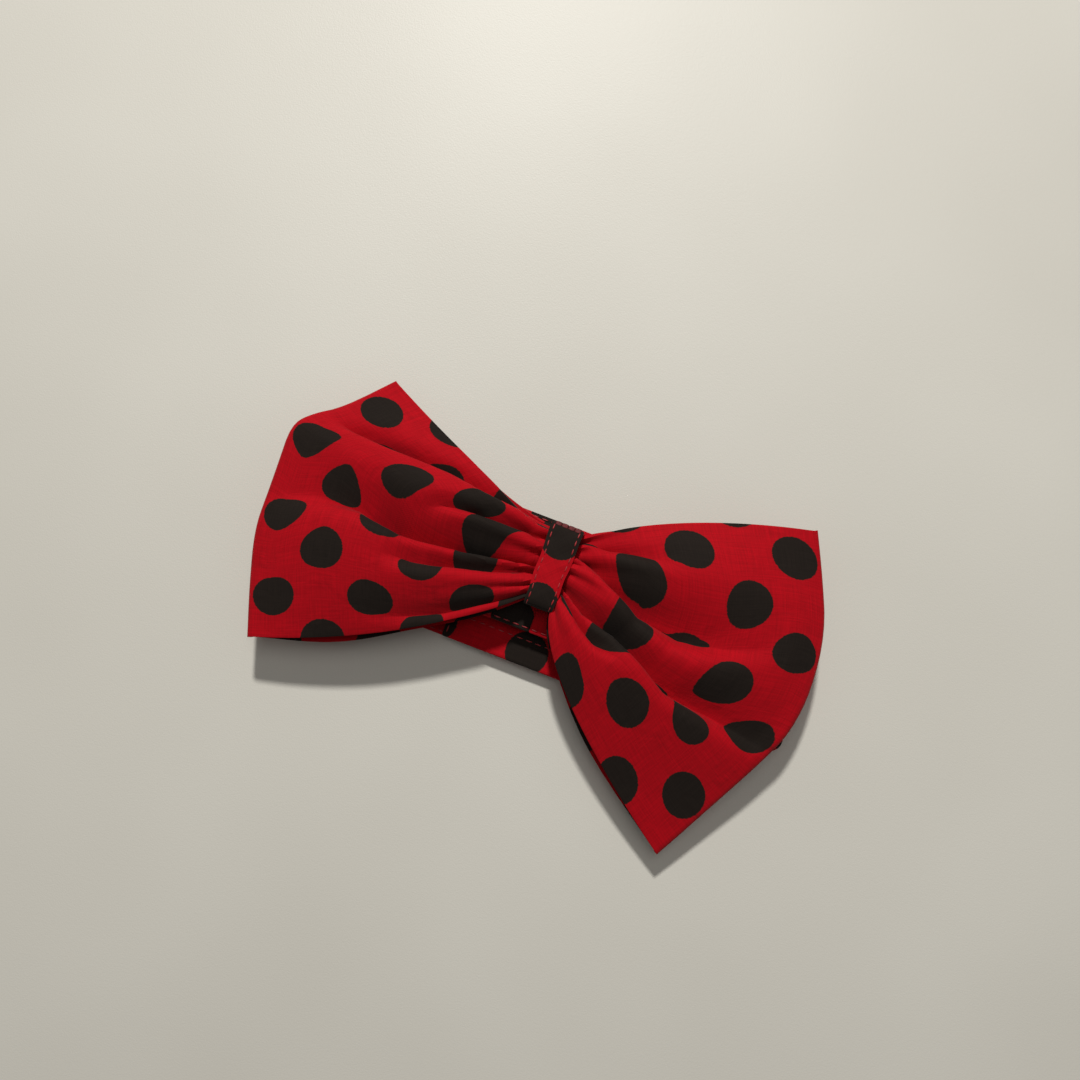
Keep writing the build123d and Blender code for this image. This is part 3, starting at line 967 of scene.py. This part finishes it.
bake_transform(tab_sewn)

# %% [markdown]
# The two halves of the fastening tape face each other between the arm and the tab: a
# looped pile below and a field of small hooks above. Loops and hooks alike are set down as
# rows of small rounded bumps. Each half is sewn on round its edge.

# %% Fastening tape
tape_skin, tape_edge, tape_margin = 0.45, 0.12, 1.2
bumps_across, bumps_along = 15, 21
bump_shape, bump_sink, bump_stray = (0.30, 0.24, 0.40), 0.42, 0.16


def tape_block(name, node, pile):
    low, high = (Vector(c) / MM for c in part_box(node))
    bm = bmesh.new()
    base_top = high.z if pile > 0 else low.z
    centre = Vector(((low.x + high.x) / 2, (low.y + high.y) / 2,
                     (low.z + tape_skin / 2) if pile > 0 else (high.z - tape_skin / 2)))
    made = bmesh.ops.create_cube(bm, size=1.0)
    size = Vector((high.x - low.x, high.y - low.y, tape_skin))
    bmesh.ops.transform(bm, verts=made["verts"], matrix=Matrix.Translation(centre * MM)
                        @ Matrix.Diagonal((*(size * MM), 1)))
    bmesh.ops.bevel(bm, geom=bm.edges[:], offset=tape_edge * MM, segments=2, profile=0.5,
                    affect="EDGES", material=-1)
    for i in range(bumps_along):
        for j in range(bumps_across):
            x = low.x + tape_margin + (size.x - 2 * tape_margin) * i / (bumps_along - 1)
            y = low.y + tape_margin + (size.y - 2 * tape_margin) * j / (bumps_across - 1)
            x += bump_stray * math.sin(7.1 * i + 3.7 * j)
            z = base_top - (bump_sink if pile > 0 else -bump_sink)
            lean = Matrix.Rotation(0.5 * math.sin(2.3 * i + 1.9 * j), 4, "Y")
            shape = Matrix.Diagonal((*(v * MM for v in bump_shape), 1))
            bmesh.ops.create_icosphere(bm, subdivisions=1, radius=1.0,
                                       matrix=Matrix.Translation(Vector((x, y, z)) * MM)
                                       @ lean @ shape)
    bmesh.ops.recalc_face_normals(bm, faces=bm.faces)
    mesh = bpy.data.meshes.new(name)
    bm.to_mesh(mesh)
    bm.free()
    piece = bpy.data.objects.new(name, mesh)
    bpy.context.scene.collection.objects.link(piece)
    piece.data.materials.append(tape_black)
    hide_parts(node)
    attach(piece, "tab" if pile > 0 else "right_arm")
    print(name, len(mesh.polygons), "faces")


tape_block("loop_half", "loop_tape", 1)
tape_block("hook_half", "hook_tape", -1)


box_inset = 0.9


def tape_stitches(name, node, face, level):
    low, high = (Vector(c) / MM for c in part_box(node))
    corners = [(low.x + box_inset, low.y + box_inset), (high.x - box_inset, low.y + box_inset),
               (high.x - box_inset, high.y - box_inset), (low.x + box_inset, high.y - box_inset)]
    lines = []
    for k in range(4):
        a, b = corners[k], corners[(k + 1) % 4]
        lines.append(([(*a, level), (*b, level)], [(0, 0, face), (0, 0, face)]))
    return sew(name, lines, thread_red)


hook_sewn = tape_stitches("hook_tape_box_stitching", "hook_tape", 1, arm_over_level + lift)
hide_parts("hook_tape_stitching")
loop_sewn = tape_stitches("loop_tape_box_stitching", "loop_tape", -1, rear_level - lift)
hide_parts("loop_tape_stitching")
for piece, body in ((hook_sewn, "right_arm"), (loop_sewn, "tab")):
    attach(piece, body)

# %% [markdown]
# Under the keeper three turns of thread gather the waist of the bow.

# %% Gathering thread
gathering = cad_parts["gathering_thread"]
gathering.data.materials.clear()
gathering.data.materials.append(thread_red)
print("gathering thread kept from the solid model")
